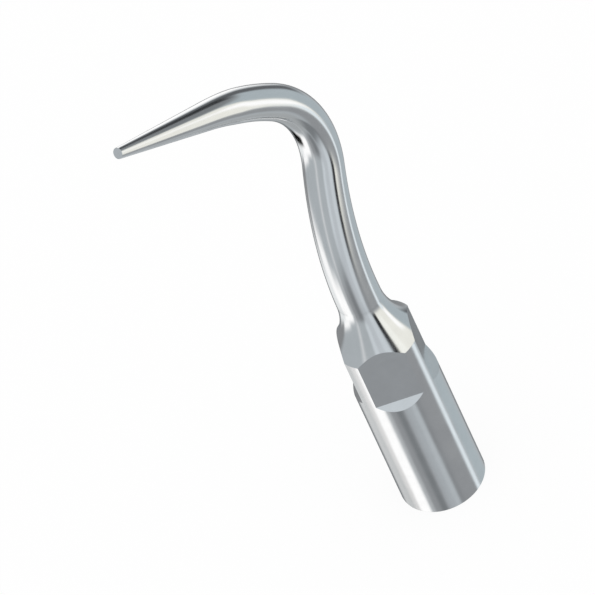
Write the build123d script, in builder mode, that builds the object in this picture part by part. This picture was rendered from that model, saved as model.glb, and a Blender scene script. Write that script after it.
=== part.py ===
"""Screw-on tip of a piezo ultrasonic scaler: a socket collar with wrench flats and a bent, tapered shank.

The collar's axis is +Z and its seat on the handpiece is at Z = 0. The shank is bent in the XZ plane
and its working end reaches towards -X. All sizes are millimetres and degrees.
"""

from build123d import *
from math import ceil, radians, tan
import os

os.makedirs("parts", exist_ok=True)

# ---------------------------------------------------------------- driving dimensions

# Collar: the turned body that the torque wrench holds.
collar_diameter = 4.0
collar_length = 10.16  # seat to the sharp edge where the shoulder starts
shoulder_length = 2.61  # sharp edge to the parting ring
neck_diameter = 2.14  # at the parting ring, on collar and shank alike

# Wrench flats: four milled cuts, each with a sloping run-out at its foot.
flat_count = 4
across_flats = 3.32
flat_foot_height = 7.39
flats_turn = 45.0  # between the flats and the plane that the shank bends in
run_out_angle = 45.0  # the foot's slope, from level

# Socket for the handpiece's M3 x 0.6 stud, drilled to the thread's inner diameter.
socket_diameter = 2.4
socket_depth = 5.6
socket_mouth_diameter = 3.1  # a 45 degree lead-in, just wider than the thread
drill_point_angle = 118.0

# Water passage, from the socket through both pieces to an outlet on the back of the shank.
collar_passage_diameter = 0.9
shank_passage_diameter = 0.6
outlet_diameter = 0.5
outlet_station = 6.2  # along the neck's bend, from the parting ring
outlet_lean = 35.0  # outlet's axis, from square to the shank towards its working end

# Spigot that holds the shank in the collar, brazed.
spigot_diameter = 1.3
spigot_length = 2.0
braze_gap = 0.02  # on the radius
spigot_end_gap = 0.1

# Shank's centre line: three tangent bends and a straight.
neck_bend_radius = 23.7  # leans back, away from the working end
neck_bend_angle = 19.0
hook_bend_radius = 5.8  # turns forward over the collar
hook_bend_angle = 59.3
easing_bend_radius = 15.2
easing_bend_angle = 17.5
straight_length = 6.15

# Shank's round section: a slow taper, then the faster taper of the working end.
working_length = 7.94
working_diameter = 1.6  # where the working end's taper starts
tip_diameter = 0.52
section_spacing = 1.0  # most that two sections of the shank stand apart


# ---------------------------------------------------------------- threaded_collar

parting_height = collar_length + shoulder_length
pocket_diameter = spigot_diameter + 2 * braze_gap
pocket_depth = spigot_length + spigot_end_gap
mouth_depth = (socket_mouth_diameter - socket_diameter) / 2
drill_point_depth = (socket_diameter / 2) / tan(radians(drill_point_angle / 2))
cutter_overrun = collar_diameter / 8
run_out_drop = (collar_diameter / 2 + cutter_overrun - across_flats / 2) * tan(radians(run_out_angle))
flat_turns = [flats_turn + 360 * index / flat_count for index in range(flat_count)]
flat_planes = [
    Plane((0, 0, 0), x_dir=Vector(1, 0, 0).rotate(Axis.Z, turn), z_dir=Vector(0, -1, 0).rotate(Axis.Z, turn))
    for turn in flat_turns
]

with BuildPart() as threaded_collar:
    # Turned body: a plain cylinder, a sharp edge, and a hollow shoulder that runs out along the neck.
    with BuildSketch(Plane.XZ):
        with BuildLine():
            seat = Line((0, 0), (collar_diameter / 2, 0))
            wall = Line(seat @ 1, (collar_diameter / 2, collar_length))
            shoulder = TangentArc((neck_diameter / 2, parting_height), wall @ 1, tangent=(0, -1))
            parting_face = Line(shoulder @ 0, (0, parting_height))
            Line(parting_face @ 1, seat @ 0)
        make_face()
    revolve(axis=Axis.Z)

    # Wrench flats: the cutter's side leaves the flat and its foot the run-out.
    with BuildSketch(*flat_planes):
        with BuildLine():
            Polyline(
                (across_flats / 2, parting_height),
                (across_flats / 2, flat_foot_height),
                (collar_diameter / 2 + cutter_overrun, flat_foot_height - run_out_drop),
                (collar_diameter / 2 + cutter_overrun, parting_height),
                close=True,
            )
        make_face()
    extrude(amount=collar_diameter, both=True, mode=Mode.SUBTRACT)

    # Socket: lead-in, bore for the thread and the drill's point.
    with BuildSketch(Plane.XZ):
        with BuildLine():
            Polyline(
                (0, 0),
                (socket_mouth_diameter / 2, 0),
                (socket_diameter / 2, mouth_depth),
                (socket_diameter / 2, socket_depth),
                (0, socket_depth + drill_point_depth),
                close=True,
            )
        make_face()
    revolve(axis=Axis.Z, mode=Mode.SUBTRACT)

    # Pocket for the spigot, and the water passage that joins it to the socket.
    with Locations((0, 0, parting_height)):
        CounterBoreHole(
            radius=collar_passage_diameter / 2,
            counter_bore_radius=pocket_diameter / 2,
            counter_bore_depth=pocket_depth,
            depth=parting_height - socket_depth,
        )

threaded_collar.part.label = "threaded_collar"


# ---------------------------------------------------------------- curved_shank

with BuildLine(Plane.XZ) as centre_line:
    neck = JernArc((0, parting_height), (0, 1), neck_bend_radius, -neck_bend_angle)
    hook = JernArc(neck @ 1, neck % 1, hook_bend_radius, hook_bend_angle)
    easing = JernArc(hook @ 1, hook % 1, easing_bend_radius, easing_bend_angle)
    straight = PolarLine(easing @ 1, straight_length, direction=easing % 1)

shank_path = centre_line.wire()
shank_length = shank_path.length
slow_taper_length = shank_length - working_length


def section_diameter(station):
    """Diameter of the shank at a distance along its centre line from the parting ring."""
    if station < slow_taper_length:
        share = station / slow_taper_length
        return neck_diameter + (working_diameter - neck_diameter) * share
    share = (station - slow_taper_length) / working_length
    return working_diameter + (tip_diameter - working_diameter) * share


def section_plane(station):
    """Plane square to the centre line, with its first axis across the bend."""
    share = station / shank_length
    return Plane(origin=shank_path @ share, x_dir=(0, 1, 0), z_dir=shank_path % share)


slow_steps = ceil(slow_taper_length / section_spacing)
working_steps = ceil(working_length / section_spacing)
stations = [slow_taper_length * step / slow_steps for step in range(slow_steps)]
stations += [slow_taper_length + working_length * step / working_steps for step in range(working_steps + 1)]

with BuildPart() as curved_shank:
    # Bent round rod, lofted through its sections.
    for station in stations:
        with BuildSketch(section_plane(station)):
            Circle(section_diameter(station) / 2)
    loft()

    # Spigot below the parting face.
    with BuildSketch(Plane.XY.offset(parting_height)):
        Circle(spigot_diameter / 2)
    extrude(amount=-spigot_length)

    # Water passage up the middle of the spigot and the neck.
    outlet_plane = section_plane(outlet_station)
    with BuildLine(Plane.XZ):
        riser = Line((0, parting_height - spigot_length), (0, parting_height))
        bend = JernArc(riser @ 1, (0, 1), neck_bend_radius, -neck_bend_angle * outlet_station / neck.length)
    with BuildSketch(Plane.XY.offset(parting_height - spigot_length)):
        Circle(shank_passage_diameter / 2)
    sweep(mode=Mode.SUBTRACT)

    # Outlet, from the passage out through the back of the shank.
    outlet_axis = outlet_plane.z_dir.rotate(Axis.Y, 90 - outlet_lean)
    with BuildSketch(Plane(origin=outlet_plane.origin, x_dir=(0, 1, 0), z_dir=outlet_axis)):
        Circle(outlet_diameter / 2)
    extrude(amount=neck_diameter, mode=Mode.SUBTRACT)

curved_shank.part.label = "curved_shank"


# ---------------------------------------------------------------- files

for piece in (threaded_collar, curved_shank):
    export_step(piece.part, f"parts/{piece.part.label}.step")
    box = piece.part.bounding_box()
    print(piece.part.label, "volume", round(piece.part.volume, 3), "from", box.min, "to", box.max)
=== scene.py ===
# %% [markdown]
# # The screw-on tip of an ultrasonic scaler
#
# The real object is smaller than a paper clip: a steel collar that screws onto a vibrating
# handpiece, and a bent, tapering shank brazed into it. Everything is polished steel, so the
# lesson has two halves. The first makes two very true shapes, because bright steel shows every
# dent. The second builds the room that the steel reflects, because bright steel has hardly any
# colour of its own. Sizes below are millimetres, and MM turns them into Blender's metres.

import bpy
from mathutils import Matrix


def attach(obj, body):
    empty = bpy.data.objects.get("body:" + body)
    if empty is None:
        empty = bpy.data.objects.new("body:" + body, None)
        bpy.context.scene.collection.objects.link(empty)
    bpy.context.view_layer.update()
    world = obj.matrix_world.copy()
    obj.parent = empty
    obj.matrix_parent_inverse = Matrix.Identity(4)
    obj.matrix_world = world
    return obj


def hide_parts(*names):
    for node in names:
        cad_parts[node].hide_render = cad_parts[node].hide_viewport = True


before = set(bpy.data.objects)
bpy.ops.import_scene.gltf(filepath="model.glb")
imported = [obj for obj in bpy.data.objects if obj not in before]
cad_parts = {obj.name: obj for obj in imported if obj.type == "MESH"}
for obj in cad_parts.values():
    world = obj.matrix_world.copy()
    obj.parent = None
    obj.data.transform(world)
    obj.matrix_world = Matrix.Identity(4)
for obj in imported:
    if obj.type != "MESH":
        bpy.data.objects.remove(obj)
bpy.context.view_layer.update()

from math import acos, ceil, cos, degrees, pi, radians, sin, sqrt, tan

import bmesh
import bpy
import numpy as np
from mathutils import Matrix, Vector

MM = 0.001

# %% [markdown]
# ## Sizes of the collar
#
# The collar is turned on a lathe from a 4 mm bar: a plain wall, a sharp edge, and a hollow
# shoulder that sweeps up and runs out along the neck. Four flats are then milled for the torque
# wrench. Each flat is cut with a bevelled cutter, so it ends below in a sloping run-out.

# %% Sizes of the collar
COLLAR_RADIUS = 2.0
EDGE_HEIGHT = 10.16  # sharp edge where the shoulder starts
PARTING_HEIGHT = 12.77  # where the shank begins
NECK_RADIUS = 1.07
FLAT_DISTANCE = 1.66  # from the axis to each wrench flat
FLAT_FOOT = 7.39
FLAT_TURNS = [45.0, 135.0, 225.0, 315.0]

# The shoulder is a circle's arc, upright where it meets the neck.
shoulder_rise = PARTING_HEIGHT - EDGE_HEIGHT
shoulder_step = COLLAR_RADIUS - NECK_RADIUS
SHOULDER_RADIUS = (shoulder_step**2 + shoulder_rise**2) / (2 * shoulder_step)
SHOULDER_CENTRE = NECK_RADIUS + SHOULDER_RADIUS  # its distance from the axis
print("shoulder radius in mm:", round(SHOULDER_RADIUS, 3))

# %% [markdown]
# ## The collar's skin as a rule
#
# A flat that cuts a curved shoulder leaves an arched edge. Cutting it with a boolean gives
# ragged slivers along that arch, and polished steel shows them as dark nicks. So the skin is
# described by a rule instead: how far a point stands outside each surface that the lathe and
# the cutter left. The steel is where every distance is negative, and the skin is where the
# largest one is zero. The same rule later gives each face the exact direction it should shade in.

# %% The collar's skin as a rule
def turned_wall(x, y, z):
    return np.hypot(x, y) - COLLAR_RADIUS


def shoulder(x, y, z):
    return SHOULDER_RADIUS - np.hypot(np.hypot(x, y) - SHOULDER_CENTRE, z - PARTING_HEIGHT)


def wrench_flat(turn):
    across, up = cos(radians(turn)), sin(radians(turn))
    return lambda x, y, z: x * across + y * up - FLAT_DISTANCE


def run_out(turn):
    flat = wrench_flat(turn)
    return lambda x, y, z: (flat(x, y, z) + z - FLAT_FOOT) / sqrt(2)


flats = [(wrench_flat(turn), run_out(turn)) for turn in FLAT_TURNS]


def skin_height(x, y, z):
    """How far a point stands outside the collar's outer skin, in mm."""
    height = np.maximum(turned_wall(x, y, z), shoulder(x, y, z))
    for flat, foot in flats:
        height = np.maximum(height, np.minimum(flat(x, y, z), foot(x, y, z)))
    return height


print("a point 1.9 mm out, half way up, stands", round(float(skin_height(1.9, 0, 5)), 3), "mm outside")

# %% [markdown]
# ## Rows and columns that follow the edges
#
# The skin is a grid of rows up the collar and columns round it. Each row knows how wide the
# flats are at its height, as an angle from the flat's middle to its edge. Columns are shared out
# between flats and corners by that angle, so a column always runs exactly along each sharp
# edge, even where the run-out and the arch close to a point.

# %% Rows up the outer skin
def shoulder_height(out):
    return PARTING_HEIGHT - sqrt(SHOULDER_RADIUS**2 - (SHOULDER_CENTRE - out) ** 2)


flat_angle = acos(FLAT_DISTANCE / COLLAR_RADIUS)
least_angle = radians(1.0)


def steps(start, end, count, ends=True):
    """Evenly spaced numbers, with or without the last one."""
    return list(np.linspace(start, end, count + 1))[: count + 1 if ends else count]


run_out_tip = FLAT_FOOT - (COLLAR_RADIUS - FLAT_DISTANCE)
arch_tip = shoulder_height(FLAT_DISTANCE)
outer_rows = []
for share in steps(0, 1, 14, ends=False):  # plain wall
    outer_rows.append((0.02 + (run_out_tip - 0.02) * share, flat_angle + (least_angle - flat_angle) * share))
for angle in steps(least_angle, flat_angle, 14, ends=False):  # run-outs open from a point
    outer_rows.append((FLAT_FOOT - COLLAR_RADIUS * cos(angle) + FLAT_DISTANCE, angle))
for share in steps(0, 1, 8, ends=False):  # full flats
    outer_rows.append((FLAT_FOOT + (EDGE_HEIGHT - FLAT_FOOT) * share, flat_angle))
for angle in steps(flat_angle, least_angle, 14, ends=False):  # arches close to a point
    outer_rows.append((shoulder_height(FLAT_DISTANCE / cos(angle)), angle))
for share in steps(0, 1, 34, ends=False):  # plain shoulder
    angle = least_angle + (flat_angle - least_angle) * share
    outer_rows.append((arch_tip + (PARTING_HEIGHT - 0.012 - arch_tip) * share, angle))
print(len(outer_rows), "rows; the arches close at", round(arch_tip, 3), "mm")

# %% [markdown]
# ## The inside of the collar
#
# Inside, the collar is plain lathe work: a lead-in, the bore for the stud, the cone that the
# drill leaves, the water passage, and the pocket that holds the shank. Those rows are simply a
# list of distances from the axis and heights. Together with the skin they form one closed
# ring, so the mesh has no seams, no poles and no lost faces.

# %% Rows through the inside
BORE_RADIUS = 1.2
BORE_DEPTH = 5.6
LEAD_IN_RADIUS = 1.55
PASSAGE_RADIUS = 0.45
POCKET_RADIUS = 0.67
POCKET_DEPTH = 2.1
HAIRLINE = 0.012  # the fine groove that is left where the two pieces meet

point_height = BORE_DEPTH + (BORE_RADIUS - PASSAGE_RADIUS) / tan(radians(59))
pocket_floor = PARTING_HEIGHT - POCKET_DEPTH
inner_rows = [(NECK_RADIUS - HAIRLINE, PARTING_HEIGHT), (0.9, PARTING_HEIGHT)]
inner_rows += [(POCKET_RADIUS, PARTING_HEIGHT), (POCKET_RADIUS, pocket_floor)]
inner_rows += [(PASSAGE_RADIUS, pocket_floor)]
inner_rows += [(PASSAGE_RADIUS, z) for z in steps(pocket_floor, point_height, 6)[1:]]
inner_rows += [(BORE_RADIUS, BORE_DEPTH)]
inner_rows += [(BORE_RADIUS, z) for z in steps(BORE_DEPTH, LEAD_IN_RADIUS - BORE_RADIUS, 16)[1:]]
inner_rows += [(LEAD_IN_RADIUS, 0.0), (1.78, 0.0), (COLLAR_RADIUS - 0.02, 0.0)]
print(len(inner_rows), "rows through the inside")

# %% Columns round the collar
FLAT_COLUMNS = 12
CORNER_COLUMNS = 24


def column_angles(angle):
    """The angle of every column, for a row whose flats reach this far each side of their middle."""
    angles = []
    for turn in FLAT_TURNS:
        middle = radians(turn)
        angles += steps(middle - angle, middle + angle, FLAT_COLUMNS, ends=False)
        angles += steps(middle + angle, middle + pi / 2 - angle, CORNER_COLUMNS, ends=False)
    return np.array(angles)


def skin_row(z, angle):
    """Points where the skin crosses one height, found by halving along each column's ray."""
    angles = column_angles(angle)
    near, far = np.full(len(angles), 0.9), np.full(len(angles), 2.2)
    for _ in range(44):
        middle = (near + far) / 2
        outside = skin_height(middle * np.cos(angles), middle * np.sin(angles), z) > 0
        far = np.where(outside, middle, far)
        near = np.where(outside, near, middle)
    return np.stack([near * np.cos(angles), near * np.sin(angles), np.full(len(angles), z)], 1)


def lathe_row(out, z):
    angles = column_angles(flat_angle)
    return np.stack([out * np.cos(angles), out * np.sin(angles), np.full(len(angles), z)], 1)


rows = [skin_row(z, angle) for z, angle in outer_rows] + [lathe_row(out, z) for out, z in inner_rows]
print(len(rows), "rows of", len(rows[0]), "points")

# %% [markdown]
# ## From rows to a closed mesh
#
# Neighbouring rows are joined with four-sided faces, and the last row is joined back to the
# first. Points outwards matters for steel, so the volume is checked: it is positive only when
# the faces look out.

# %% From rows to a closed mesh
def ring_mesh(name, rows, closed):
    """A mesh of rows joined to each other, and of the last row to the first if closed."""
    count = len(rows[0])
    points = np.concatenate(rows) * MM
    faces = []
    for row in range(len(rows) if closed else len(rows) - 1):
        above = (row + 1) % len(rows)
        for column in range(count):
            beside = (column + 1) % count
            low, high = row * count, above * count
            faces.append((low + column, low + beside, high + beside, high + column))
    mesh = bpy.data.meshes.new(name)
    mesh.from_pydata(points.tolist(), [], faces)
    mesh.update()
    return mesh


def volume_of(mesh):
    work = bmesh.new()
    work.from_mesh(mesh)
    volume = work.calc_volume(signed=True) / MM**3
    loose = sum(not edge.is_manifold for edge in work.edges)
    work.free()
    return round(volume, 3), loose


collar_blank = ring_mesh("collar_blank", rows, closed=True)
print("collar blank: volume in mm3 and open edges", volume_of(collar_blank))

# %% [markdown]
# ## Small helpers for node trees
#
# Geometry and shader trees are both built in the script. These helpers add a node, set its
# inputs by name and link it, so that each later cell reads like a recipe.

# %% Helpers for node trees
def node(tree, kind, sockets=None, **settings):
    """Add a node, set its properties, then set or link its inputs by name or number."""
    made = tree.nodes.new(kind)
    for name, value in settings.items():
        setattr(made, name, value)
    for name, value in (sockets or {}).items():
        socket = made.inputs[name]
        if isinstance(value, bpy.types.NodeSocket):
            tree.links.new(value, socket)
        else:
            socket.default_value = value
    return made


def maths(tree, operation, first, second=None, third=None):
    """One Math node; numbers and sockets may be mixed."""
    values = {i: v for i, v in enumerate((first, second, third)) if v is not None}
    return node(tree, "ShaderNodeMath", values, operation=operation).outputs[0]


def geometry_tree(name, inputs, takes_mesh):
    """A Geometry Nodes tree with named float or integer inputs and one mesh output."""
    tree = bpy.data.node_groups.new(name, "GeometryNodeTree")
    if takes_mesh:
        tree.interface.new_socket(name="Geometry", in_out="INPUT", socket_type="NodeSocketGeometry")
    for label, value in inputs.items():
        kind = "NodeSocketInt" if isinstance(value, int) else "NodeSocketFloat"
        if isinstance(value, bpy.types.Material):
            kind = "NodeSocketMaterial"
        tree.interface.new_socket(name=label, in_out="INPUT", socket_type=kind)
    tree.interface.new_socket(name="Geometry", in_out="OUTPUT", socket_type="NodeSocketGeometry")
    return tree, tree.nodes.new("NodeGroupInput").outputs, tree.nodes.new("NodeGroupOutput").inputs


def finish_tree(tree, geometry, material, result):
    """Realize Instances and Set Material, then the tree's output."""
    real = node(tree, "GeometryNodeRealizeInstances", {"Geometry": geometry})
    shown = node(tree, "GeometryNodeSetMaterial", {"Geometry": real.outputs[0], "Material": material})
    tree.links.new(shown.outputs[0], result[0])


def grow(name, mesh, tree, inputs):
    """Run a tree on a mesh, with its inputs set by identifier, and return the result as a plain mesh."""
    piece = bpy.data.objects.new(name, mesh)
    bpy.context.scene.collection.objects.link(piece)
    modifier = piece.modifiers.new("rule", "NODES")
    modifier.node_group = tree
    for item in tree.interface.items_tree:
        if item.in_out == "INPUT" and item.name in inputs:
            modifier[item.identifier] = inputs[item.name]
    bpy.context.view_layer.update()
    evaluated = piece.evaluated_get(bpy.context.evaluated_depsgraph_get())
    grown = bpy.data.meshes.new_from_object(evaluated)
    piece.modifiers.clear()
    piece.data = grown
    grown.name = name
    return piece


print("helpers ready")

# %% [markdown]
# ## Two finishes of one steel
#
# Collar and shank are the same hard stainless steel, left by different tools. The collar has
# been turned, so very fine rings run round it. The shank was drawn and polished by hand along its
# length, so its haze is cloudier. Both are metals with a pale grey colour. What makes them steel
# and not a mirror is a little unevenness: roughness that drifts, a trace of rings in the
# bump, and edges that have been rubbed by the wrench.

# %% A shader for bright steel
STEEL = (0.80, 0.81, 0.82)  # what the steel gives back of white light


def new_material(name):
    material = bpy.data.materials.new(name)
    material.use_nodes = True
    tree = material.node_tree
    tree.nodes.clear()
    place = node(tree, "ShaderNodeTexCoord").outputs["Object"]
    shader = node(tree, "ShaderNodeBsdfPrincipled", {"Metallic": 1.0})
    node(tree, "ShaderNodeOutputMaterial", {"Surface": shader.outputs[0]})
    return material, tree, place, shader


def spread(tree, value, low, high, to_low, to_high):
    """Map Range: a value between low and high becomes one between to_low and to_high, eased."""
    sockets = {"Value": value, "From Min": low, "From Max": high, "To Min": to_low, "To Max": to_high}
    return node(tree, "ShaderNodeMapRange", sockets, interpolation_type="SMOOTHSTEP").outputs[0]


def noise(tree, place, scale_mm, detail=2.0, stretch=(1, 1, 1)):
    """Noise whose grains are about scale_mm across, stretched along an axis if asked."""
    size = [1 / (scale_mm * MM * s) for s in stretch]
    turned = node(tree, "ShaderNodeMapping", {"Vector": place, "Scale": size}).outputs[0]
    return node(tree, "ShaderNodeTexNoise", {"Vector": turned, "Scale": 1.0, "Detail": detail}).outputs[0]


# %% [markdown]
# ## Turned steel for the collar
#
# Rings left by the lathe are far finer than the eye can part, so they show only as a slight
# softness across the collar and not along it. A noise squashed flat in height gives them. The
# worn places are the collar's rims: the seat and the sharp edge, found from their heights.
# Inside the socket the steel is rougher, as the tap left it, and its colour is darkened towards a dark grey:
# a painted shade in the hollow.

# %% Turned steel for the collar
collar_steel, tree, place, shader = new_material("collar_steel")
height = node(tree, "ShaderNodeSeparateXYZ", {0: place}).outputs
squares = [maths(tree, "POWER", height[axis], 2.0) for axis in (0, 1)]
out = maths(tree, "SQRT", maths(tree, "ADD", *squares))

cloud = noise(tree, place, 1.6)
rings = noise(tree, place, 0.035, 3.0, stretch=(40, 40, 1))
smudge = noise(tree, place, 0.45, 4.0)
in_bore = spread(tree, out, 1.56 * MM, 1.62 * MM, 1.0, 0.0)
below_shoulder = spread(tree, height[2], 10.0 * MM, 10.3 * MM, 1.0, 0.0)
socket_share = maths(tree, "MULTIPLY", in_bore, below_shoulder)
seat_rim = spread(tree, height[2], 0.0, 0.12 * MM, 1.0, 0.0)
edge_gap = maths(tree, "ABSOLUTE", maths(tree, "SUBTRACT", height[2], EDGE_HEIGHT * MM))
edge_rim = spread(tree, edge_gap, 0.0, 0.09 * MM, 1.0, 0.0)
rims = maths(tree, "MAXIMUM", seat_rim, edge_rim)
worn = maths(tree, "MULTIPLY", rims, spread(tree, smudge, 0.35, 0.7, 0.0, 1.0))

polish = spread(tree, cloud, 0.3, 0.7, 0.10, 0.15)
polish = maths(tree, "ADD", polish, maths(tree, "MULTIPLY", worn, 0.10))
polish = maths(tree, "ADD", polish, maths(tree, "MULTIPLY", socket_share, 0.16))
tree.links.new(polish, shader.inputs["Roughness"])

tint = maths(tree, "ADD", maths(tree, "MULTIPLY", cloud, 0.5), maths(tree, "MULTIPLY", smudge, 0.5))
light_steel = [c * 1.02 for c in STEEL] + [1]
dark_steel = [c * 0.97 for c in STEEL] + [1]
colour = node(tree, "ShaderNodeMix", {"Factor": spread(tree, tint, 0.3, 0.7, 0, 1)}, data_type="RGBA")
colour.inputs["A"].default_value, colour.inputs["B"].default_value = dark_steel, light_steel
# Painted shade: inside the socket the base colour is mixed halfway towards a dark grey.
socket_painted_shade = node(tree, "ShaderNodeMix", {"Factor": maths(tree, "MULTIPLY", socket_share, 0.5)}, data_type="RGBA")
tree.links.new(colour.outputs["Result"], socket_painted_shade.inputs["A"])
socket_painted_shade.inputs["B"].default_value = (0.42, 0.43, 0.44, 1)
tree.links.new(socket_painted_shade.outputs["Result"], shader.inputs["Base Color"])

bump = node(tree, "ShaderNodeBump", {"Strength": 0.05, "Distance": 0.002 * MM, "Height": rings})
tree.links.new(bump.outputs[0], shader.inputs["Normal"])
print("collar_steel has", len(tree.nodes), "nodes")

# %% [markdown]
# ## Polished steel for the shank
#
# The shank was bent, then polished lengthways with a felt wheel. Its roughness drifts in larger
# clouds, with faint streaks. The working end has been ground again and is a touch duller from
# use.

# %% Polished steel for the shank
shank_steel, tree, place, shader = new_material("shank_steel")
cloud = noise(tree, place, 2.2)
streak = noise(tree, place, 0.12, 3.0, stretch=(6, 1, 6))
smudge = noise(tree, place, 0.5, 4.0)
where = node(tree, "ShaderNodeSeparateXYZ", {0: place}).outputs
used = spread(tree, where[0], -8.4 * MM, -5.5 * MM, 1.0, 0.0)
polish = spread(tree, cloud, 0.3, 0.7, 0.09, 0.13)
polish = maths(tree, "ADD", polish, maths(tree, "MULTIPLY", streak, 0.03))
polish = maths(tree, "ADD", polish, maths(tree, "MULTIPLY", maths(tree, "MULTIPLY", used, smudge), 0.08))
tree.links.new(polish, shader.inputs["Roughness"])
tint = maths(tree, "ADD", maths(tree, "MULTIPLY", cloud, 0.6), maths(tree, "MULTIPLY", streak, 0.4))
colour = node(tree, "ShaderNodeMix", {"Factor": spread(tree, tint, 0.3, 0.7, 0, 1)}, data_type="RGBA")
colour.inputs["A"].default_value, colour.inputs["B"].default_value = dark_steel, light_steel
tree.links.new(colour.outputs["Result"], shader.inputs["Base Color"])
bump = node(tree, "ShaderNodeBump", {"Strength": 0.05, "Distance": 0.003 * MM, "Height": streak})
tree.links.new(bump.outputs[0], shader.inputs["Normal"])
print("shank_steel has", len(tree.nodes), "nodes")

# %% [markdown]
# ## The thread in the socket
#
# The handpiece has an M3 stud with a fine thread, so the socket is tapped to match. A tap cuts
# one groove that climbs round the bore, and that is just how the tree makes it: a spiral for the
# path, a blunt V for the cutter's tooth, Curve to Mesh to sweep it, and Mesh Boolean to take it
# out of the steel.

# %% The thread in the socket
THREAD = {
    "Pitch": 0.6 * MM,
    "Crest Radius": BORE_RADIUS * MM,
    "Groove Depth": 0.3 * MM,
    "Turns": 8.3,
    "Start Height": 0.0,
    "Steps Per Turn": 72,
}
tree, given, result = geometry_tree("tapped_socket", {**THREAD, "Steel": collar_steel}, takes_mesh=True)
overlap = 0.02 * MM  # the tooth starts inside the bore, so that it cuts cleanly
climb = maths(tree, "MULTIPLY", given["Pitch"], given["Turns"])
path_radius = maths(tree, "SUBTRACT", given["Crest Radius"], overlap)
spiral = node(
    tree,
    "GeometryNodeCurveSpiral",
    {
        "Resolution": given["Steps Per Turn"],
        "Rotations": given["Turns"],
        "Start Radius": path_radius,
        "End Radius": path_radius,
        "Height": climb,
        "Reverse": True,
    },
)
upright = node(tree, "GeometryNodeSetCurveNormal", {"Curve": spiral.outputs[0]}, mode="Z_UP")

# The tooth: wide at the bore, narrow at the bottom of the groove, 60 degrees between its sides.
tooth_depth = maths(tree, "ADD", given["Groove Depth"], overlap)
half_mouth = maths(tree, "ADD", maths(tree, "MULTIPLY", given["Pitch"], 0.375), overlap * tan(radians(30)))
half_root = maths(tree, "SUBTRACT", half_mouth, maths(tree, "MULTIPLY", tooth_depth, tan(radians(30))))


def tooth_corner(depth, half_width):
    return node(tree, "ShaderNodeCombineXYZ", {"X": depth, "Y": half_width}).outputs[0]


tooth = node(
    tree,
    "GeometryNodeCurvePrimitiveQuadrilateral",
    {
        "Point 1": tooth_corner(0.0, half_mouth),
        "Point 2": tooth_corner(0.0, maths(tree, "MULTIPLY", half_mouth, -1.0)),
        "Point 3": tooth_corner(tooth_depth, maths(tree, "MULTIPLY", half_root, -1.0)),
        "Point 4": tooth_corner(tooth_depth, half_root),
    },
    mode="POINTS",
)
groove = node(
    tree,
    "GeometryNodeCurveToMesh",
    {"Curve": upright.outputs[0], "Profile Curve": tooth.outputs[0], "Fill Caps": True},
)
start = node(tree, "ShaderNodeCombineXYZ", {"Z": given["Start Height"]}).outputs[0]
placed = node(tree, "GeometryNodeTransform", {"Geometry": groove.outputs[0], "Translation": start})
tapped = node(
    tree,
    "GeometryNodeMeshBoolean",
    {"Mesh 1": given["Geometry"], "Mesh 2": placed.outputs[0]},
    operation="DIFFERENCE",
    solver="EXACT",
)
finish_tree(tree, tapped.outputs[0], given["Steel"], result)

collar = grow("scaler_collar", collar_blank, tree, {**THREAD, "Steel": collar_steel})
print("tapped collar: volume in mm3 and open edges", volume_of(collar.data))
print("tapped collar:", len(collar.data.polygons), "faces")

# %% [markdown]
# ## Sizes of the shank
#
# The shank is one round rod that leaves the neck upright, leans back a little, hooks forward over
# the collar, eases into a straight and ends in a small flat face. Each bend carries on where the
# last one stopped, so the rod's direction never jumps. It thins slowly at first, and faster
# along the working end.

# %% Sizes of the shank
SHANK = {
    "Root Radius": NECK_RADIUS * MM,
    "Working Radius": 0.80 * MM,
    "Tip Radius": 0.26 * MM,
    "Working Length": 7.94 * MM,
    "Blend": 0.03 * MM,
    "Spigot Radius": 0.65 * MM,
    "Sides": 96,
}
BENDS = [(23.7, -19.0), (5.8, 59.3), (15.2, 17.5)]  # radius, and turn towards the working end
STRAIGHT = 6.15
SPIGOT_LENGTH = 2.0
SPIGOT_CHAMFER = 0.08
shank_length = sum(radius * radians(abs(turn)) for radius, turn in BENDS) + STRAIGHT
print("centre line in mm:", round(shank_length, 3))

# %% [markdown]
# ## A bend as a node group
#
# The tree needs to know where a point lies when only its distance along the rod is given. This
# group answers that for one bend. It takes a place, a heading and the distance still to go,
# spends up to its own length of it on a circle's arc, and hands on what is left. A chord is
# used, because a chord's length and direction are known exactly from the angle turned.

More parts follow.
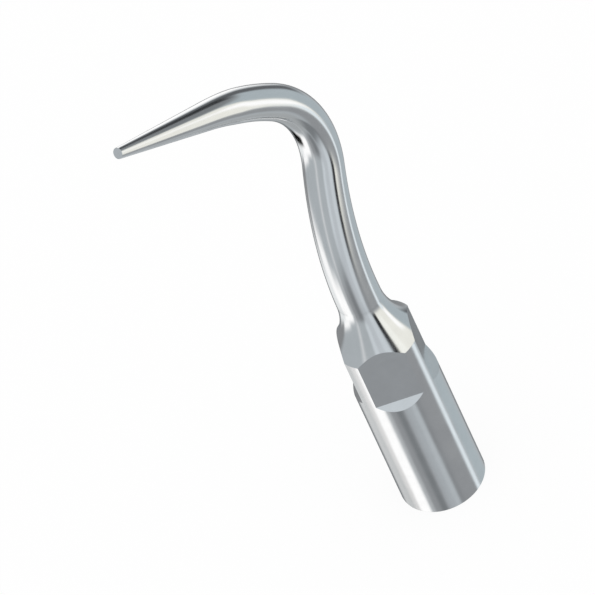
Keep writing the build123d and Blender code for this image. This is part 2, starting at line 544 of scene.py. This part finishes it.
# %% A bend as a node group
def bend_group():
    tree = bpy.data.node_groups.new("one_bend", "GeometryNodeTree")
    kinds = {"Place": "Vector", "Heading": "Float", "To Go": "Float", "Radius": "Float", "Turn": "Float"}
    for label, kind in kinds.items():
        tree.interface.new_socket(name=label, in_out="INPUT", socket_type="NodeSocket" + kind)
    for label, kind in (("Place", "Vector"), ("Heading", "Float"), ("To Go", "Float")):
        tree.interface.new_socket(name=label, in_out="OUTPUT", socket_type="NodeSocket" + kind)
    given, result = tree.nodes.new("NodeGroupInput").outputs, tree.nodes.new("NodeGroupOutput").inputs
    most = maths(tree, "ABSOLUTE", given["Turn"])
    wanted = maths(tree, "DIVIDE", given["To Go"], given["Radius"])
    spent = maths(tree, "MAXIMUM", maths(tree, "MINIMUM", wanted, most), 0.0)
    turned = maths(tree, "MULTIPLY", spent, maths(tree, "SIGN", given["Turn"]))
    aim = maths(tree, "ADD", given["Heading"], maths(tree, "MULTIPLY", turned, 0.5))
    half_sine = maths(tree, "SINE", maths(tree, "MULTIPLY", spent, 0.5))
    chord = maths(tree, "MULTIPLY", maths(tree, "MULTIPLY", given["Radius"], 2.0), half_sine)
    step = node(
        tree,
        "ShaderNodeCombineXYZ",
        {
            "X": maths(tree, "MULTIPLY", chord, maths(tree, "COSINE", aim)),
            "Z": maths(tree, "MULTIPLY", chord, maths(tree, "SINE", aim)),
        },
    )
    moved = node(tree, "ShaderNodeVectorMath", {0: given["Place"], 1: step.outputs[0]}, operation="ADD")
    tree.links.new(moved.outputs[0], result["Place"])
    tree.links.new(maths(tree, "ADD", given["Heading"], turned), result["Heading"])
    whole_arc = maths(tree, "MULTIPLY", given["Radius"], most)
    tree.links.new(maths(tree, "SUBTRACT", given["To Go"], whole_arc), result["To Go"])
    return tree


one_bend = bend_group()


def along_rod(tree, station):
    """Three bends and a straight: the place on the centre line at a distance from the parting ring."""
    place, heading = node(tree, "ShaderNodeCombineXYZ", {"Z": PARTING_HEIGHT * MM}).outputs[0], pi / 2
    below = maths(tree, "MINIMUM", station, 0.0)
    to_go = maths(tree, "MAXIMUM", station, 0.0)
    for radius, turn in BENDS:
        sockets = {"Place": place, "Heading": heading, "To Go": to_go}
        sockets.update({"Radius": radius * MM, "Turn": radians(turn)})
        bend = tree.nodes.new("GeometryNodeGroup")
        bend.node_tree = one_bend
        for name, value in sockets.items():
            if isinstance(value, bpy.types.NodeSocket):
                tree.links.new(value, bend.inputs[name])
            else:
                bend.inputs[name].default_value = value
        place, heading, to_go = bend.outputs["Place"], bend.outputs["Heading"], bend.outputs["To Go"]
    run = maths(tree, "MAXIMUM", to_go, 0.0)
    step = node(
        tree,
        "ShaderNodeCombineXYZ",
        {
            "X": maths(tree, "MULTIPLY", run, maths(tree, "COSINE", heading)),
            "Z": maths(tree, "ADD", maths(tree, "MULTIPLY", run, maths(tree, "SINE", heading)), below),
        },
    )
    return node(tree, "ShaderNodeVectorMath", {0: place, 1: step.outputs[0]}, operation="ADD").outputs[0]


print("the bend group has", len(one_bend.nodes), "nodes")

# %% [markdown]
# ## Stations along the rod
#
# The rod starts as a bare line of points, one for each ring of the finished mesh. Most stand
# evenly apart. A few stand close together where the shape turns suddenly: the spigot's end, the
# step out to the full neck, and the fine groove at the parting ring.

# %% Stations along the rod
RING_SPACING = 0.07
stations = [-SPIGOT_LENGTH, -SPIGOT_LENGTH + SPIGOT_CHAMFER, -1.5, -1.0, -0.5, -0.1]
stations += [-0.004, 0.0, 0.004, HAIRLINE, 0.03, 0.05]
stations += steps(0.07, shank_length, ceil(shank_length / RING_SPACING))


def line_mesh(name, stations):
    """Points joined in a row, each as far up the Z axis as its station says."""
    mesh = bpy.data.meshes.new(name)
    points = [(0, 0, station * MM) for station in stations]
    mesh.from_pydata(points, [(i, i + 1) for i in range(len(points) - 1)], [])
    return mesh


rod_line = line_mesh("rod_line", stations)
print(len(stations), "stations")

# %% [markdown]
# ## The shank's tree
#
# Set Position bends the line, Curve to Mesh sweeps a circle along it, and the circle's scale
# follows the two tapers, blended where they meet so that no ring shows in the polish. The water
# passage is swept along the same line, only thinner, and cut out together with its outlet on the
# back.

# %% The shank's tree
tree, given, result = geometry_tree("bent_rod", {**SHANK, "Steel": shank_steel}, takes_mesh=True)
spot = node(tree, "GeometryNodeInputPosition").outputs[0]
station = node(tree, "ShaderNodeSeparateXYZ", {0: spot}).outputs[2]

# Radius by rule: the lesser of two straight tapers, then the spigot and the parting groove.
slow_length = maths(tree, "SUBTRACT", shank_length * MM, given["Working Length"])
slow_share = maths(tree, "DIVIDE", station, slow_length)
slow_drop = maths(tree, "SUBTRACT", given["Root Radius"], given["Working Radius"])
slow = maths(tree, "SUBTRACT", given["Root Radius"], maths(tree, "MULTIPLY", slow_drop, slow_share))
fast_share = maths(tree, "DIVIDE", maths(tree, "SUBTRACT", station, slow_length), given["Working Length"])
fast_drop = maths(tree, "SUBTRACT", given["Working Radius"], given["Tip Radius"])
fast = maths(tree, "SUBTRACT", given["Working Radius"], maths(tree, "MULTIPLY", fast_drop, fast_share))
taper = maths(tree, "SMOOTH_MIN", slow, fast, given["Blend"])
groove_side = maths(tree, "ADD", maths(tree, "SUBTRACT", given["Root Radius"], HAIRLINE * MM), station)
body = maths(tree, "MINIMUM", taper, groove_side)
past_end = maths(tree, "ADD", station, (SPIGOT_LENGTH - SPIGOT_CHAMFER) * MM)
chamfer = maths(tree, "ADD", past_end, given["Spigot Radius"])
spigot = maths(tree, "MINIMUM", chamfer, given["Spigot Radius"])
on_spigot = maths(tree, "LESS_THAN", station, -0.002 * MM)
choice = {"Switch": on_spigot, "False": body, "True": spigot}
radius = node(tree, "GeometryNodeSwitch", choice, input_type="FLOAT")

noted = node(
    tree,
    "GeometryNodeStoreNamedAttribute",
    {"Geometry": given["Geometry"], "Name": "rod_radius", "Value": radius.outputs[0]},
    data_type="FLOAT",
    domain="POINT",
)
bent = node(
    tree, "GeometryNodeSetPosition", {"Geometry": noted.outputs[0], "Position": along_rod(tree, station)}
)
curve = node(tree, "GeometryNodeMeshToCurve", {"Mesh": bent.outputs[0]})
upright = node(tree, "GeometryNodeSetCurveNormal", {"Curve": curve.outputs[0]}, mode="MINIMUM_TWIST")
ring = node(tree, "GeometryNodeCurvePrimitiveCircle", {"Resolution": given["Sides"], "Radius": 1.0})
scale = node(tree, "GeometryNodeInputNamedAttribute", {"Name": "rod_radius"}, data_type="FLOAT")
rod = node(
    tree,
    "GeometryNodeCurveToMesh",
    {
        "Curve": upright.outputs[0],
        "Profile Curve": ring.outputs[0],
        "Scale": scale.outputs[0],
        "Fill Caps": True,
    },
)
print("the rod's tree has", len(tree.nodes), "nodes so far")

# %% [markdown]
# ## The water passage and its outlet
#
# Water cools the tip at work. It climbs through the collar and the lower neck, and leaves
# through a small hole on the back of the bend, leaning towards the working end. Seen from
# behind, that hole is the tip's one visible opening.

# %% The water passage and its outlet
PASSAGE_IN_SHANK = 0.30
OUTLET_RADIUS = 0.25
OUTLET_STATION = 6.2
OUTLET_LEAN = 35.0  # from square to the rod, towards its working end

WATER_START = -2.2  # just below the spigot's end, so that the cut goes right through
water_end = (OUTLET_STATION + 0.05) * MM  # a little past the outlet's middle
water_line = node(
    tree,
    "GeometryNodeCurvePrimitiveLine",
    {"Start": (0, 0, WATER_START * MM), "End": (0, 0, water_end)},
    mode="POINTS",
)
water_points = node(tree, "GeometryNodeResampleCurve", {"Curve": water_line.outputs[0], "Count": 40})
water_spot = node(tree, "ShaderNodeSeparateXYZ", {0: spot}).outputs[2]
water_bent = node(
    tree,
    "GeometryNodeSetPosition",
    {"Geometry": water_points.outputs[0], "Position": along_rod(tree, water_spot)},
)
water_ring = node(
    tree, "GeometryNodeCurvePrimitiveCircle", {"Resolution": 32, "Radius": PASSAGE_IN_SHANK * MM}
)
water = node(
    tree,
    "GeometryNodeCurveToMesh",
    {"Curve": water_bent.outputs[0], "Profile Curve": water_ring.outputs[0], "Fill Caps": True},
)

# Where the outlet starts on the centre line, and which way it points.
heading = pi / 2 - OUTLET_STATION / BENDS[0][0]
outlet_x = BENDS[0][0] * (1 - sin(heading))
outlet_z = PARTING_HEIGHT + BENDS[0][0] * cos(heading)
outlet_aim = heading - radians(90 - OUTLET_LEAN)
outlet_length = 1.6
drill = node(
    tree,
    "GeometryNodeMeshCylinder",
    {"Vertices": 40, "Side Segments": 1, "Radius": OUTLET_RADIUS * MM, "Depth": outlet_length * MM},
)
drill_middle = (
    (outlet_x + cos(outlet_aim) * outlet_length / 2) * MM,
    0,
    (outlet_z + sin(outlet_aim) * outlet_length / 2) * MM,
)
drilled = node(
    tree,
    "GeometryNodeTransform",
    {"Geometry": drill.outputs[0], "Translation": drill_middle, "Rotation": (0, pi / 2 - outlet_aim, 0)},
)
hollow = node(
    tree, "GeometryNodeMeshBoolean", {"Mesh 1": rod.outputs[0]}, operation="DIFFERENCE", solver="EXACT"
)
tree.links.new(water.outputs[0], hollow.inputs["Mesh 2"])
tree.links.new(drilled.outputs[0], hollow.inputs["Mesh 2"])
finish_tree(tree, hollow.outputs[0], given["Steel"], result)

shank = grow("scaler_shank", rod_line, tree, {**SHANK, "Steel": shank_steel})
print("shank: volume in mm3 and open edges", volume_of(shank.data))
print("shank:", len(shank.data.polygons), "faces")
print("outlet starts at", round(outlet_x, 2), round(outlet_z, 2), "mm")
print("outlet aims", round(degrees(outlet_aim), 1), "degrees")

# %% [markdown]
# ## Exact shading
#
# Blender guesses how a smooth surface shades from its faces. On bright steel a guess is not
# good enough next to a sharp edge, so the rule that made each surface now also says which way
# it faces. Faces that belong to no rule keep Blender's own shading, with an edge kept sharp
# where it turns by more than 30 degrees.

# %% Exact shading
def sharpen(mesh, angle=30.0):
    work = bmesh.new()
    work.from_mesh(mesh)
    for face in work.faces:
        face.smooth = True
    for edge in work.edges:
        edge.smooth = edge.is_manifold and edge.calc_face_angle(0) < radians(angle)
    work.to_mesh(mesh)
    work.free()


def slope_of(rule, points):
    """Direction in which a rule's distance grows, found by stepping a hair each way."""
    hair, slope = 1e-4, []
    for axis in range(3):
        ahead, behind = points.copy(), points.copy()
        ahead[:, axis] += hair
        behind[:, axis] -= hair
        slope.append(rule(*ahead.T) - rule(*behind.T))
    slope = np.stack(slope, 1)
    return slope / np.linalg.norm(slope, axis=1, keepdims=True)


def mesh_arrays(mesh):
    """Corner places, each corner's face, and each face's middle and direction, in mm."""
    corners, points = len(mesh.loops), len(mesh.vertices)
    index, place = np.empty(corners, int), np.empty(points * 3)
    mesh.loops.foreach_get("vertex_index", index)
    mesh.vertices.foreach_get("co", place)
    sizes = np.empty(len(mesh.polygons), int)
    middles, facing = np.empty(len(sizes) * 3), np.empty(len(sizes) * 3)
    mesh.polygons.foreach_get("loop_total", sizes)
    mesh.polygons.foreach_get("center", middles)
    mesh.polygons.foreach_get("normal", facing)
    owner = np.repeat(np.arange(len(sizes)), sizes)
    return place.reshape(-1, 3)[index] / MM, owner, middles.reshape(-1, 3) / MM, facing.reshape(-1, 3)


def shade_by_rules(mesh, rules, skin, reach=0.02):
    """Each face on the skin takes its direction from the rule it lies on and agrees with best."""
    sharpen(mesh)
    corners, owner, middles, facing = mesh_arrays(mesh)
    on_skin = np.abs(skin(*middles.T)) < reach
    best, choice = np.full(len(middles), -2.0), np.zeros(len(middles), int)
    for number, rule in enumerate(rules):
        agrees = (slope_of(rule, middles) * facing).sum(1)
        agrees = np.where(np.abs(rule(*middles.T)) < reach, agrees, -2.0)
        choice = np.where(agrees > best, number, choice)
        best = np.maximum(best, agrees)
    on_skin &= best > 0.9
    normals = np.zeros((len(corners), 3))
    for number, rule in enumerate(rules):
        mine = on_skin[owner] & (choice[owner] == number)
        if mine.any():
            normals[mine] = slope_of(rule, corners[mine])
    mesh.normals_split_custom_set(normals.tolist())
    return int(on_skin.sum())


collar_rules = [turned_wall, shoulder] + [rule for pair in flats for rule in pair]
print("collar faces shaded by rule:", shade_by_rules(collar.data, collar_rules, skin_height))
sharpen(shank.data)

# %% Hand the pieces to the frame
made = [(collar, "threaded_collar", "collar_steel"), (shank, "curved_shank", "shank_steel")]
for piece, cad_node, steel in made:
    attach(piece, "root")
    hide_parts(cad_node)
    print(piece.name, sum(len(face.vertices) - 2 for face in piece.data.polygons), "triangles")

# %% [markdown]
# ## The room that the steel sees
#
# Bright steel shows its surroundings, so its look is designed by hanging cards round it, as a
# product photographer does: white for light, grey for form, and one thin black flag that draws
# the dark line down the shank. The cards hang far away in the world's shader. Each one is a
# soft-edged patch of sky, given by two bearings and two heights in degrees. A card's shade is
# written as the steel shows it, and divided by the steel's own colour to get the card's light.

# %% A card as a node group
def card_group():
    """Mixes one soft-edged card over the picture so far."""
    tree = bpy.data.node_groups.new("card", "ShaderNodeTree")
    labels = ["Bearing", "Height", "Middle Bearing", "Half Width", "Width Softness"]
    labels += ["Middle Height", "Half Height"]
    tree.interface.new_socket(name="Picture", in_out="INPUT", socket_type="NodeSocketColor")
    for label in labels + ["Height Softness"]:
        tree.interface.new_socket(name=label, in_out="INPUT", socket_type="NodeSocketFloat")
    tree.interface.new_socket(name="Light", in_out="INPUT", socket_type="NodeSocketColor")
    tree.interface.new_socket(name="Picture", in_out="OUTPUT", socket_type="NodeSocketColor")
    given, result = tree.nodes.new("NodeGroupInput").outputs, tree.nodes.new("NodeGroupOutput").inputs

    def fade(distance, half, softness):
        start, end = maths(tree, "SUBTRACT", half, softness), maths(tree, "ADD", half, softness)
        return spread(tree, distance, start, end, 1.0, 0.0)

    turn = maths(tree, "SUBTRACT", given["Bearing"], given["Middle Bearing"])
    apart = maths(tree, "WRAP", turn, 180.0, -180.0)
    across = fade(maths(tree, "ABSOLUTE", apart), given["Half Width"], given["Width Softness"])
    lift = maths(tree, "ABSOLUTE", maths(tree, "SUBTRACT", given["Height"], given["Middle Height"]))
    upward = fade(lift, given["Half Height"], given["Height Softness"])
    mixed = node(tree, "ShaderNodeMix", {"Factor": maths(tree, "MULTIPLY", across, upward)}, data_type="RGBA")
    tree.links.new(given["Picture"], mixed.inputs["A"])
    tree.links.new(given["Light"], mixed.inputs["B"])
    tree.links.new(mixed.outputs["Result"], result[0])
    return tree


card = card_group()


def light_behind(shade):
    """The light a card needs so that the steel shows this shade (0 to 255 for each colour)."""
    straight = [((s / 255 + 0.055) / 1.055) ** 2.4 if s > 10 else s / 255 / 12.92 for s in shade]
    return [value / steel for value, steel in zip(straight, STEEL)] + [1]


print("white in the steel needs a card of", [round(v, 2) for v in light_behind((255, 255, 255))[:3]])

# %% [markdown]
# ## The list of cards
#
# A few paints, then the cards: name, from and to bearing, from and to height, softness of each,
# and paint. Later cards hang in front of earlier ones. Above them all the steel sees the plain
# white background.

# %% The list of cards
PAINTS = {
    "white": (255, 255, 255),
    "warm white": (240, 241, 235),
    "cream": (231, 231, 224),
    "pearl": (226, 229, 230),
    "cool white": (222, 231, 236),
    "silver": (195, 202, 207),
    "pale grey": (182, 188, 193),
    "room grey": (166, 172, 176),
    "blue grey": (165, 175, 180),
    "ash": (158, 162, 164),
    "stone": (140, 143, 146),
    "pewter": (130, 132, 134),
    "slate": (118, 122, 125),
    "charcoal": (92, 95, 98),
    "soot": (40, 42, 44),
    "black": (0, 0, 0),
}
CARDS = [
    ("grey room", -180, 180, -95, 66, 10, 8, "room grey"),
    ("grey floor card", -180, 180, -95, -66, 10, 8, "ash"),
    ("floor card, lit side", -30, 50, -90, -66, 25, 6, "pale grey"),
    ("side wall", -146, -106, -60, 80, 2, 6, "pale grey"),
    ("side wall, bright", -122, -106, -60, 80, 4, 6, "silver"),
    ("bright seam", -149, -138, -30, 80, 3, 6, "silver"),
    ("cream wall", -96, -30, -40, 60, 4, 5, "cream"),
    ("cream wall, lit", -90, -72, -30, 60, 4, 6, "warm white"),
    ("blue wall", -32, 12, -62, 9, 4, 5, "blue grey"),
    ("dark top of the blue wall", -34, 24, 9, 60, 7, 4, "slate"),
    ("dark corner", 8, 28, -25, 60, 5, 6, "charcoal"),
    ("dark bar", -4, 16, 12, 21, 5, 4, "soot"),
    ("window", 34, 80, -24, 60, 8, 6, "white"),
    ("grey door", 82, 112, -38, 30, 8, 6, "pewter"),
    ("low grey wall", 26, 108, -50, -26, 6, 6, "pewter"),
    ("dark card behind", 30, 84, -62, -38, 6, 6, "slate"),
    ("front skirting", -108, -52, -58, -40, 5, 5, "stone"),
    ("white strip", -48, -36, -36, -2, 4, 5, "white"),
    ("light line", -50, -38, -50, -35, 4, 3, "cool white"),
    ("black flag", -103, -90, -39, 60, 3, 4, "soot"),
    ("low white light", 112, 170, -62, -36, 6, 5, "white"),
    ("low white light, top", 112, 146, -38, -30, 8, 5, "white"),
    ("low grey light", 86, 124, -52, -38, 8, 4, "pearl"),
    ("crease, slow side", 178, 220, -62, -36, 10, 6, "stone"),
    ("crease", 198, 214, -62, -36, 6, 6, "slate"),
    ("low shade", -140, -96, -70, -48, 6, 8, "slate"),
    ("under the flag", 84, 138, -59, -47, 6, 3, "black"),
]
print(len(CARDS), "cards in", len(PAINTS), "paints")

# %% [markdown]
# ## The world
#
# The ray's own direction gives a bearing and a height. The camera sees plain white behind the
# object. The steel sees the same white with the cards in front of it, so only a little of the
# white is left, overhead. Everything else, which is only the floor, is lit by a plain soft white.

# %% The world
world = bpy.data.worlds.new("studio")
bpy.context.scene.world = world
world.use_nodes = True
tree = world.node_tree
tree.nodes.clear()
toward = node(tree, "ShaderNodeTexCoord").outputs["Generated"]
axes = node(tree, "ShaderNodeSeparateXYZ", {0: toward}).outputs
bearing = maths(tree, "DEGREES", maths(tree, "ARCTAN2", axes[1], axes[0]))
height = maths(tree, "DEGREES", maths(tree, "ARCSINE", axes[2]))

picture = node(tree, "ShaderNodeRGB")
picture.outputs[0].default_value = (1, 1, 1, 1)
picture = picture.outputs[0]
for name, west, east, low, high, side_soft, end_soft, paint in CARDS:
    hung = tree.nodes.new("ShaderNodeGroup")
    hung.node_tree, hung.label = card, name
    tree.links.new(picture, hung.inputs["Picture"])
    tree.links.new(bearing, hung.inputs["Bearing"])
    tree.links.new(height, hung.inputs["Height"])
    numbers = {
        "Middle Bearing": (west + east) / 2,
        "Half Width": (east - west) / 2,
        "Width Softness": side_soft,
        "Middle Height": (low + high) / 2,
        "Half Height": (high - low) / 2,
        "Height Softness": end_soft,
        "Light": light_behind(PAINTS[paint]),
    }
    for label, value in numbers.items():
        hung.inputs[label].default_value = value
    picture = hung.outputs[0]

rays = node(tree, "ShaderNodeLightPath").outputs
plain = node(tree, "ShaderNodeBackground", {"Color": (1, 1, 1, 1), "Strength": 0.8})
white = node(tree, "ShaderNodeBackground", {"Color": (1, 1, 1, 1), "Strength": 1.0})
cards = node(tree, "ShaderNodeBackground", {"Color": picture, "Strength": 1.0})
seen = maths(tree, "MAXIMUM", rays["Is Camera Ray"], rays["Is Transmission Ray"])
open_air = node(tree, "ShaderNodeMixShader", {"Fac": seen, 1: plain.outputs[0], 2: white.outputs[0]})
in_steel = node(
    tree, "ShaderNodeMixShader", {"Fac": rays["Is Glossy Ray"], 1: open_air.outputs[0], 2: cards.outputs[0]}
)
node(tree, "ShaderNodeOutputWorld", {"Surface": in_steel.outputs[0]})
print("the world has", len(tree.nodes), "nodes")

# %% [markdown]
# ## The floor and its light
#
# The tip stands on its seat on a pale floor. The floor is mostly white to the camera, with a
# share of real shading left in, so the object still has a faint shadow. The steel looks past
# the floor at the cards below the horizon. From underneath the floor is clear, so the socket can
# be looked into.

# %% The floor and its light
floor_paint = bpy.data.materials.new("floor_paint")
floor_paint.use_nodes = True
tree = floor_paint.node_tree
tree.nodes.clear()
grain = noise(tree, node(tree, "ShaderNodeTexCoord").outputs["Object"], 40.0)
pale = node(tree, "ShaderNodeMix", {"Factor": grain}, data_type="RGBA")
pale.inputs["A"].default_value, pale.inputs["B"].default_value = (0.90, 0.90, 0.90, 1), (0.93, 0.93, 0.93, 1)
matt = node(tree, "ShaderNodeBsdfDiffuse", {"Color": pale.outputs["Result"]})
glow = node(tree, "ShaderNodeEmission", {"Color": (1, 1, 1, 1), "Strength": 1.0})
rays = node(tree, "ShaderNodeLightPath").outputs
through = maths(tree, "MAXIMUM", rays["Is Glossy Ray"], rays["Is Transmission Ray"])
seen = maths(tree, "MAXIMUM", rays["Is Camera Ray"], through)
WHITE_SHARE = 0.90  # the rest of the floor's look is real shading
share = maths(tree, "MULTIPLY", seen, WHITE_SHARE)
paint = node(tree, "ShaderNodeMixShader", {"Fac": share, 1: matt.outputs[0], 2: glow.outputs[0]})
clear = node(tree, "ShaderNodeBsdfTransparent")
under = node(tree, "ShaderNodeNewGeometry").outputs["Backfacing"]
top = node(tree, "ShaderNodeMixShader", {"Fac": under, 1: paint.outputs[0], 2: clear.outputs[0]})
node(tree, "ShaderNodeOutputMaterial", {"Surface": top.outputs[0]})

floor_mesh = bpy.data.meshes.new("floor")
reach = 0.6
corners = [(-reach, -reach, 0), (reach, -reach, 0), (reach, reach, 0), (-reach, reach, 0)]
floor_mesh.from_pydata(corners, [], [(0, 1, 2, 3)])
floor = bpy.data.objects.new("floor", floor_mesh)
floor_mesh.materials.append(floor_paint)
bpy.context.scene.collection.objects.link(floor)
floor.visible_glossy = False

softbox = bpy.data.lights.new("overhead_softbox", "AREA")
softbox.shape, softbox.size, softbox.energy = "DISK", 0.5, 1.2
softbox_object = bpy.data.objects.new("overhead_softbox", softbox)
softbox_object.location = (-0.12, -0.10, 0.62)
softbox_object.rotation_euler = (-Vector(softbox_object.location)).to_track_quat("-Z", "Y").to_euler()
softbox_object.visible_glossy = False
bpy.context.scene.collection.objects.link(softbox_object)
print("floor", 2 * reach, "m across")

# %% [markdown]
# ## The camera
#
# A long lens from far away keeps the collar's sides straight, as in a catalogue picture. The
# camera looks down at 46 degrees and is rolled, so that the collar leans to the left.

# %% The camera
CAMERA_BEARING = -125.45
CAMERA_HEIGHT = 45.81
CAMERA_ROLL = 25.12
FRAME_WIDTH = 26.61  # how much the picture spans at the object
HALF_VIEW = 0.62  # half the lens's angle
TARGET_RIGHT = -6.485  # the picture's middle, measured in it from the seat's centre
TARGET_UP = 8.05

a, e, roll = radians(CAMERA_BEARING), radians(CAMERA_HEIGHT), radians(CAMERA_ROLL)
back = Vector((cos(e) * cos(a), cos(e) * sin(a), sin(e)))
level = Vector((0, 0, 1)).cross(back).normalized()
rise = back.cross(level)
right = level * cos(roll) - rise * sin(roll)
up = level * sin(roll) + rise * cos(roll)

lens = bpy.data.cameras.new("long_lens")
lens.sensor_width = 36.0
lens.lens = 18.0 / tan(radians(HALF_VIEW))
distance = FRAME_WIDTH / 2 / tan(radians(HALF_VIEW))
target = right * TARGET_RIGHT + up * TARGET_UP
camera = bpy.data.objects.new("camera", lens)
place = (target + back * distance) * MM
camera.matrix_world = Matrix(
    [(right[i], up[i], back[i], place[i]) for i in range(3)] + [(0, 0, 0, 1)]
)
lens.clip_start, lens.clip_end = 0.1, 10.0
bpy.context.scene.collection.objects.link(camera)
bpy.context.scene.camera = camera
bpy.context.scene.view_settings.view_transform = "Standard"
print("camera", round(distance), "mm away, lens", round(lens.lens), "mm")

# %% Finish
bpy.context.view_layer.update()
